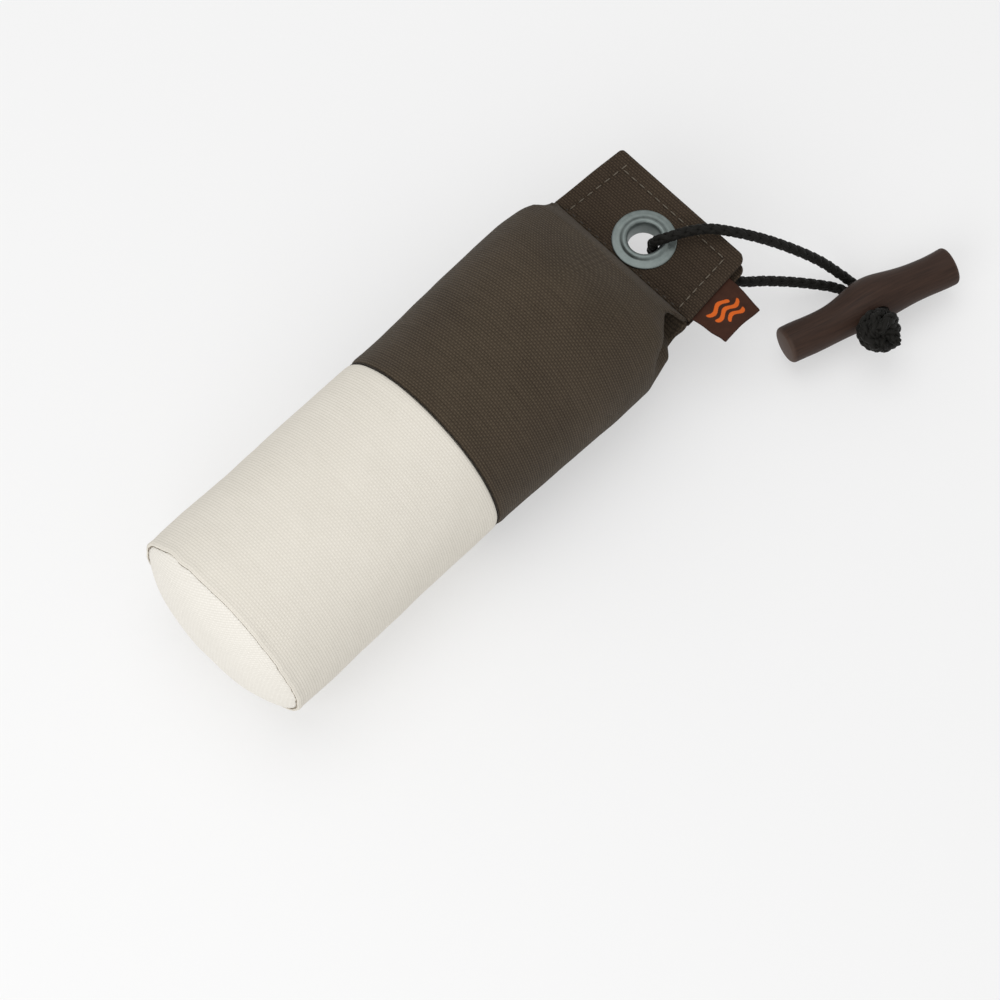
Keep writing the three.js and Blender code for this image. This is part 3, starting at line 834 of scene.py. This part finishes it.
def bag_place(s, t):
    (x, inset, reach), _ = along_line(bag_line, t)
    gather = ease((x - 71) / 6)
    folds = 1 + 0.09 * gather * math.cos(2 * math.pi * 19 * s + 2 * math.sin(6 * math.pi * s))
    place = body_place(x, s + 0.5, inset, reach / FULL_REACH * folds)
    return above_floor(place + slack_at(place, s + 0.5) * reach / FULL_REACH)


bag_cloth = canvas_finish("bag_cloth", (0.5, 0.46, 0.37), (0.72, 0.68, 0.57), depth=0.0001)
inner_bag = closed_up("inner_bag_cloth", 190, 110, bag_place,
                      lambda s, t: (s * 2 * THREADS_ROUND, t * 400), bag_cloth)
thicken(inner_bag, BAG_CALICO)
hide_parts("inner_bag")


# ---- Filling ----
# Loose plastic granules packed tight in the bag, modelled as the one lump that they make,
# with the outer granules standing out of its surface.
FILL_INSET, FILL_FLAP_INSET, FILL_LOWEST = 2.45, 3.6, 1.2
fill_line = [(BASE_X + 2.9, FILL_FLAP_INSET, 0), (BASE_X + 2.9, FILL_FLAP_INSET, 31),
             (BASE_X + 4, FILL_FLAP_INSET, FULL_REACH), (BASE_X + 8.5, FILL_FLAP_INSET, FULL_REACH),
             (BASE_X + 12, FILL_INSET, FULL_REACH), (BELLY_END_X, FILL_INSET, FULL_REACH),
             (70, FILL_INSET, FULL_REACH), (74, FILL_INSET, 30.5), (76, FILL_INSET, 23),
             (76.8, FILL_INSET, 11), (77, FILL_INSET, 0)]


def fill_place(s, t):
    (x, inset, reach), _ = along_line(fill_line, t)
    place = body_place(x, s + 0.5, inset, reach / FULL_REACH)
    granule = body_out(s + 0.5) * 0.9 * (0.5 - min(0.5, noise.voronoi(place * 0.36)[0][0]))
    moved = place + (slack_at(place, s + 0.5) + granule) * reach / FULL_REACH
    return Vector((moved.x, moved.y, max(moved.z, FILL_LOWEST)))


def granule_finish():
    material, tree, shader = finish_material("filling_granules")
    place = wire(tree, "TexCoord").outputs["Object"]
    grains = wire(tree, "TexVoronoi", {"Vector": place, "Scale": 360}).outputs["Distance"]
    # The colour runs from light at each granule's middle to dark at its edges: painted shade in the
    # gaps between granules.
    tone = two_tones(tree, grains, (0.52, 0.46, 0.34), (0.26, 0.22, 0.15))
    tree.links.new(tone, shader.inputs["Base Color"])
    give_relief(tree, shader, grains, 0.8, 0.0006, invert=True)
    shader.inputs["Roughness"].default_value = 0.55
    return material


filling = closed_up("filling_lump", 180, 130, fill_place, lambda s, t: (s, t),
                    granule_finish(), layer="lump")
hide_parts("filling")


# ---- Tab, front and back ----
# Front and back canvas run on past the throat as the two faces of a flat tab. Their raw
# edges are turned under, and the stitching draws them down along its line.
TAB_HALF, TAB_END, TAB_BACK_END = 26.2, 118.9, 117.2
EYELET = Vector((101.2, 0, TAB_Z))
PLY_HOLE = 6.0
STITCH_INSET, STITCH_STEP, ROOT_ROW_X = 4.9, 3.4, THROAT_X + 0.9
tab_threads = (0.6, THREAD_PITCH)
tab_canvas = canvas_finish("tab_canvas", (0.013, 0.0088, 0.0055), (0.077, 0.0555, 0.0375))


def tab_half(x, end):
    return blend_to(THROAT_HALF, TAB_HALF, min(max((x - THROAT_X) / (end - THROAT_X), 0), 1))


def tab_edge(x, side, end, rounding, widen):
    """Half width of the tab at station x, with the corner on that side rounded."""
    over = max(0.0, x - (end - rounding))
    spread = widen * ease((x - THROAT_X) / 18)
    return tab_half(x, end) + spread - rounding + math.sqrt(max(rounding ** 2 - over ** 2, 0))


def stitch_pull(x, y, end):
    """How far the seam draws the cloth down here, deepest at its needle holes."""
    from_side, from_end = tab_half(x, end) - abs(y), end - x
    on_side = math.hypot(max(0, STITCH_INSET - from_end), from_side - STITCH_INSET)
    on_end = math.hypot(max(0, STITCH_INSET - from_side), from_end - STITCH_INSET)
    on_root = abs(x - ROOT_ROW_X) if from_side > STITCH_INSET else 9
    away, along = min((on_side, x - ROOT_ROW_X), (on_end, y), (on_root, y))
    holes = 0.3 + 0.24 * math.cos(2 * math.pi * along / STITCH_STEP)
    return holes * math.exp(-(away / 0.85) ** 2)


def closer_at_edge(share, full, edge, rows):
    """Spread shares so that the last few rows fall in the outermost edge."""
    if share < 1 - rows:
        return share / (1 - rows) * (full - edge)
    return full - edge + (share - 1 + rows) / rows * edge


def tab_face(name, face, end, roundings, widen):
    """One face of the tab: face is 1 for the front and -1 for the back."""
    middle = PLY_OUTER - CANVAS / 2
    from_x = THROAT_X + 0.25

    def place(s, t):
        x = from_x + closer_at_edge(t, end - from_x, 3.2, 0.2)
        side = 1 if s >= 0.5 else -1
        half = tab_edge(x, side, end, roundings[side > 0], widen[side > 0])
        y = closer_at_edge(abs(2 * s - 1), half, 0.9, 0.1)
        edge = min(half - y, end - x, 0.7)
        rolled = 0.6 - math.sqrt(max(0.0, 0.36 - max(0.0, 0.6 - edge) ** 2))
        wave = 0.22 * noise.noise(Vector((x, y * side, 7 * face)) * 0.09)
        height = middle - rolled - stitch_pull(x, y, end) + wave * ease((x - THROAT_X) / 6)
        if math.dist((x, y), EYELET.xy) < 12:
            height = min(height, middle)
        return Vector((x, y * side, TAB_Z + face * height))

    def chart(s, t):
        laid = place(s, t)
        return laid.y / tab_threads[0], laid.x / tab_threads[1]

    bm = bmesh.new()
    lay_grid(bm, bm.loops.layers.uv.new("weave"), 124, 66, place, chart)
    punch(bm)
    piece = finish_piece(name, bm, tab_canvas, "bumper")
    thicken(piece, CANVAS, offset=0)
    return piece


def punch(bm):
    """Cut the round hole that the eyelet's barrel passes through."""
    centre, hole = EYELET.xy * 0.001, PLY_HOLE * 0.001
    inside = [f for f in bm.faces if (f.calc_center_median().xy - centre).length < hole]
    bmesh.ops.delete(bm, geom=inside, context="FACES")
    for vertex in bm.verts:
        from_centre = vertex.co.xy - centre
        if vertex.is_boundary and from_centre.length < 1.3 * hole:
            vertex.co.xy = centre + from_centre.normalized() * hole


tab_front = tab_face("tab_front_cloth", 1, TAB_END, (3.0, 1.3), (-0.2, 0.4))
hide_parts("tab_front_ply")
tab_back = tab_face("tab_back_cloth", -1, TAB_BACK_END, (2.6, 1.3), (1.5, 0.1))
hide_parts("tab_back_ply")


# ---- Tab, folded sides ----
# The sleeve's sides run into the tab folded in half, a doubled ply between front and back
# at each edge. Together with them they make the tab four layers thick.
GUSSET_OUT_Y, GUSSET_CREASE_Y, GUSSET_BEND = 25.6, 3.55, 0.88
GUSSET_LONG, GUSSET_THICK = 25, 0.7


def gusset(name, side):
    straight = GUSSET_OUT_Y - GUSSET_CREASE_Y - GUSSET_BEND
    bend = math.pi * GUSSET_BEND
    girth = 2 * straight + bend

    def place(s, t):
        at = s * girth
        if straight < at < straight + bend:
            angle = (at - straight) / GUSSET_BEND
            y = GUSSET_CREASE_Y + GUSSET_BEND * (1 - math.sin(angle))
            z = GUSSET_BEND * math.cos(angle)
        else:
            y = GUSSET_OUT_Y - min(at, girth - at)
            z = GUSSET_BEND if at <= straight else -GUSSET_BEND
        x = THROAT_X + 0.35 + t * GUSSET_LONG
        ease_off = 0.05 * noise.noise(Vector((x, y, z)) * 0.12)
        return Vector((x, side * y, TAB_Z + z + ease_off))

    bm = bmesh.new()
    lay_grid(bm, bm.loops.layers.uv.new("weave"), 116, 40, place,
             lambda s, t: (s * girth / tab_threads[0], t * GUSSET_LONG / tab_threads[1]))
    punch(bm)
    piece = finish_piece(name, bm, tab_canvas, "bumper")
    thicken(piece, GUSSET_THICK, offset=0)
    return piece, girth


for gusset_name, side in (("left_gusset", 1), ("right_gusset", -1)):
    folded_side, girth = gusset(gusset_name + "_cloth", side)
    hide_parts(gusset_name + "_ply")


# ---- Tab stitching ----
# One lockstitched seam down both sides and across the end, and a row across the throat, in
# thread a shade paler than the cloth. Each stitch is a short raised bead between two holes.
# The throat's row is pulled deep into the crease, in the dark thread.
tab_thread = thread_finish("tab_thread", (0.06, 0.048, 0.034), (0.17, 0.138, 0.10))


STITCH_HALF = (1.25, 0.22, 0.2)


def stitch_row(bm, start, finish, height):
    run = Vector(finish) - Vector(start)
    count = max(1, round(run.length / STITCH_STEP))
    for k in range(count):
        at = Vector(start) + run * ((k + 0.5) / count)
        lean = 0.09 * noise.noise(Vector((at.x, at.y, 5)) * 0.7)
        turn = Matrix.Rotation(math.atan2(run.y, run.x) + lean, 4, "Z")
        where = Matrix.Scale(0.001, 4) @ Matrix.Translation((at.x, at.y, height)) @ turn
        bmesh.ops.create_uvsphere(bm, u_segments=8, v_segments=6, radius=1,
                                  matrix=where @ Matrix.Diagonal((*STITCH_HALF, 1)))


def tab_stitches(name, face):
    bm = bmesh.new()
    height = TAB_Z + face * (PLY_OUTER - 0.06)
    far = TAB_END - STITCH_INSET
    half_end = tab_half(far, TAB_END) - STITCH_INSET
    half_root = THROAT_HALF - STITCH_INSET
    for side, past in ((1, 2.6), (-1, 0)):
        stitch_row(bm, (ROOT_ROW_X, side * half_root), (far + past, side * half_end), height)
    stitch_row(bm, (far, -half_end), (far, half_end), height)
    sunk = bmesh.new()
    stitch_row(sunk, (ROOT_ROW_X, -half_root - 3), (ROOT_ROW_X, half_root + 3),
               height - face * 0.25)
    for part, mesh, thread in ((name, bm, tab_thread), (name + "_throat", sunk, dark_thread)):
        piece = finish_piece(part, mesh, thread, "bumper")
    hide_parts("tab_stitching_" + ("front" if face > 0 else "back"))


tab_stitches("tab_stitches_front", 1)
tab_stitches("tab_stitches_back", -1)


# ---- Eyelet and its washer ----
# A pressed steel eyelet, zinc plated and gone dull. Its barrel passes through the tab, and
# is rolled over a flat washer on the back.
def eyelet_finish():
    material, tree, shader = finish_material("plated_steel")
    place = wire(tree, "TexCoord").outputs["Object"]
    centred = wire(tree, "Mapping", {"Vector": place, "Location": tuple(EYELET * -0.001)})
    parts = wire(tree, "SeparateXYZ", {"Vector": centred.outputs["Vector"]})
    flat = wire(tree, "CombineXYZ", {"X": parts.outputs["X"], "Y": parts.outputs["Y"]})
    radius = wire(tree, "VectorMath", {0: flat.outputs["Vector"]}, operation="LENGTH")
    rings = wire(tree, "TexNoise", {"W": radius.outputs["Value"], "Scale": 5200, "Detail": 2},
                 noise_dimensions="1D").outputs["Fac"]
    bloom = wire(tree, "TexNoise", {"Vector": place, "Scale": 420, "Detail": 5,
                                    "Roughness": 0.65}).outputs["Fac"]
    worn = worked(tree, "MULTIPLY_ADD", rings, 0.35, bloom)
    tone = two_tones(tree, worn, (0.15, 0.178, 0.172), (0.255, 0.29, 0.28), 0.4, 0.95)
    tree.links.new(tone, shader.inputs["Base Color"])
    shader.inputs["Metallic"].default_value = 1.0
    gloss = wire(tree, "MapRange", {"Value": worn, "From Min": 0.4, "From Max": 1.0,
                                    "To Min": 0.42, "To Max": 0.56})
    tree.links.new(gloss.outputs["Result"], shader.inputs["Roughness"])
    give_relief(tree, shader, rings, 0.12, 0.00005)
    return material


def pressed_ring(name, outline):
    bm = bmesh.new()
    line = [bm.verts.new(in_metres(EYELET.x + r, EYELET.y, EYELET.z + z)) for r, z in outline]
    edges = [bm.edges.new(pair) for pair in zip(line, line[1:] + line[:1])]
    bmesh.ops.spin(bm, geom=line + edges, cent=EYELET * 0.001, axis=(0, 0, 1), dvec=(0, 0, 0),
                   angle=2 * math.pi, steps=96, use_merge=True, use_duplicate=False)
    bmesh.ops.remove_doubles(bm, verts=bm.verts, dist=SEAM_MERGE)
    piece = finish_piece(name, bm, plated_steel, "bumper")
    return piece


plated_steel = eyelet_finish()
eyelet = pressed_ring("eyelet_shell", [
    (10.1, 2.35), (10.0, 2.52), (9.8, 2.63), (9.4, 2.69), (8.95, 2.72), (8.75, 2.78), (8.4, 2.81),
    (8.0, 2.82), (7.6, 2.86), (7.4, 3.0), (7.2, 3.2), (6.95, 3.42), (6.65, 3.6), (6.3, 3.68),
    (5.95, 3.6), (5.6, 3.38), (5.3, 3.0), (5.12, 2.5), (5.0, 1.6), (5.0, -2.9), (5.1, -3.25),
    (5.4, -3.6), (5.8, -3.75), (6.3, -3.78), (6.8, -3.68), (7.15, -3.5), (7.05, -3.3),
    (6.6, -3.36), (6.1, -3.3), (5.75, -3.1), (5.6, -2.8), (5.6, 2.3), (10.1, 2.3)])
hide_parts("eyelet")
washer = pressed_ring("eyelet_washer_ring", [
    (5.9, -2.33), (5.9, -2.9), (6.6, -2.96), (7.4, -2.95), (8.6, -2.92), (9.5, -2.84), (9.85, -2.7),
    (10.0, -2.5), (9.95, -2.33)])
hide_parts("eyelet_washer")


# ---- Side label ----
# A brown woven ribbon folded double, its two cut ends sewn in at the side of the tab. It
# droops, most at its outer corner, and has a plain mark of three woven waves on top.
LABEL_SEWN_Y, LABEL_FOLD_Y, LABEL_WIDE, RIBBON = -16.0, -39.4, 16.8, 0.28
LABEL_HIDDEN = 9.5
WAVE_ORANGE = (0.62, 0.115, 0.014)
# Each wave's place up the label, its middle across it, and its half length.
WAVES = ((8.5, 7.2, 3.6), (6.1, 8.6, 4.6), (3.7, 9.4, 3.0))


def label_finish():
    material, tree, shader = finish_material("label_ribbon")
    spot = wire(tree, "UVMap", uv_map="ribbon").outputs["UV"]

    def sum_of(operation, *values):
        return worked(tree, operation, *values)

    threads = wire(tree, "Mapping", {"Vector": spot, "Scale": (4.2, 3.2, 1)})
    woven = wire(tree, "Group", {"Threads": threads.outputs["Vector"]}, node_tree=weave_group)
    height = woven.outputs["Height"]
    blotch = wire(tree, "TexNoise", {"Vector": spot, "Scale": 0.35, "Detail": 4}).outputs["Fac"]
    parts = wire(tree, "SeparateXYZ", {"Vector": spot})
    across, along = parts.outputs["X"], parts.outputs["Y"]
    swing = sum_of("MULTIPLY", sum_of("SINE", sum_of("MULTIPLY", across, 0.95)), 0.62)
    nearest = None
    for up, middle, reach in WAVES:
        off = sum_of("SUBTRACT", sum_of("SUBTRACT", along, up), swing)
        from_middle = sum_of("ABSOLUTE", sum_of("SUBTRACT", across, middle))
        beyond = sum_of("MAXIMUM", sum_of("SUBTRACT", from_middle, reach), 0.0)
        squares = sum_of("ADD", sum_of("MULTIPLY", off, off), sum_of("MULTIPLY", beyond, beyond))
        gap = sum_of("SQRT", squares)
        nearest = gap if nearest is None else sum_of("MINIMUM", nearest, gap)
    ragged = sum_of("MULTIPLY_ADD", height, 0.14, nearest)
    mark = wire(tree, "MapRange", {"Value": ragged, "From Min": 0.62, "From Max": 0.78,
                                   "To Min": 1.0, "To Max": 0.0})
    # Random blotches, the ribbon's own tone, mixed with the weave's height, which darkens the
    # ground between the threads as painted shade.
    blotches_and_painted_shade = sum_of("MULTIPLY_ADD", blotch, 0.6, sum_of("MULTIPLY", height, 0.4))
    ground = two_tones(tree, blotches_and_painted_shade, (0.031, 0.0115, 0.0062), (0.064, 0.0245, 0.0138), 0.25, 0.8)
    colour = wire(tree, "Mix", {"Factor": mark.outputs["Result"], "A": ground,
                                "B": (*WAVE_ORANGE, 1)}, data_type="RGBA")
    tree.links.new(colour.outputs["Result"], shader.inputs["Base Color"])
    give_relief(tree, shader, height, 0.5)
    shader.inputs["Roughness"].default_value = 0.72
    shader.inputs["Specular IOR Level"].default_value = 0.15
    shader.inputs["Sheen Weight"].default_value = 0.01
    return material


def label_place(s, t):
    """Across the ribbon by s, and by t along its upper layer, round the fold and back."""
    reach = LABEL_SEWN_Y - LABEL_FOLD_Y
    out = reach * (1 - abs(2 * t - 1))
    shown = ease((out - LABEL_HIDDEN) / (reach - LABEL_HIDDEN))
    apart = blend_to(0.19, 0.42, shown) * min(1.0, math.sqrt(max(reach - out, 0) / 0.5))
    x = blend_to(blend_to(92.8, 96.2, shown), blend_to(111.0, 112.0, shown), s)
    lean = 3.0 * shown ** 2 * ease((s - 0.4) / 0.6)
    droop = 2.1 * shown ** 1.4 + lean + (1 - s) ** 2 * (
        1.5 * shown ** 2 + 1.1 * math.sin(math.pi * shown ** 2) ** 2)
    curl = 0.25 * math.sin(s * math.pi * 1.6 + 0.5) * shown
    layer = apart if t < 0.5 else -apart
    return Vector((x, LABEL_SEWN_Y - out + 0.5 * shown * (s - 0.5), TAB_Z - droop + curl + layer))


bm = bmesh.new()
ribbon_long = 2 * (LABEL_SEWN_Y - LABEL_FOLD_Y)
lay_grid(bm, bm.loops.layers.uv.new("ribbon"), 30, 96, label_place,
         lambda s, t: (s * LABEL_WIDE, (0.5 - t) * ribbon_long))
side_label = finish_piece("side_label_ribbon", bm, label_finish(), "bumper")
thicken(side_label, RIBBON, offset=0)
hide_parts("side_label")
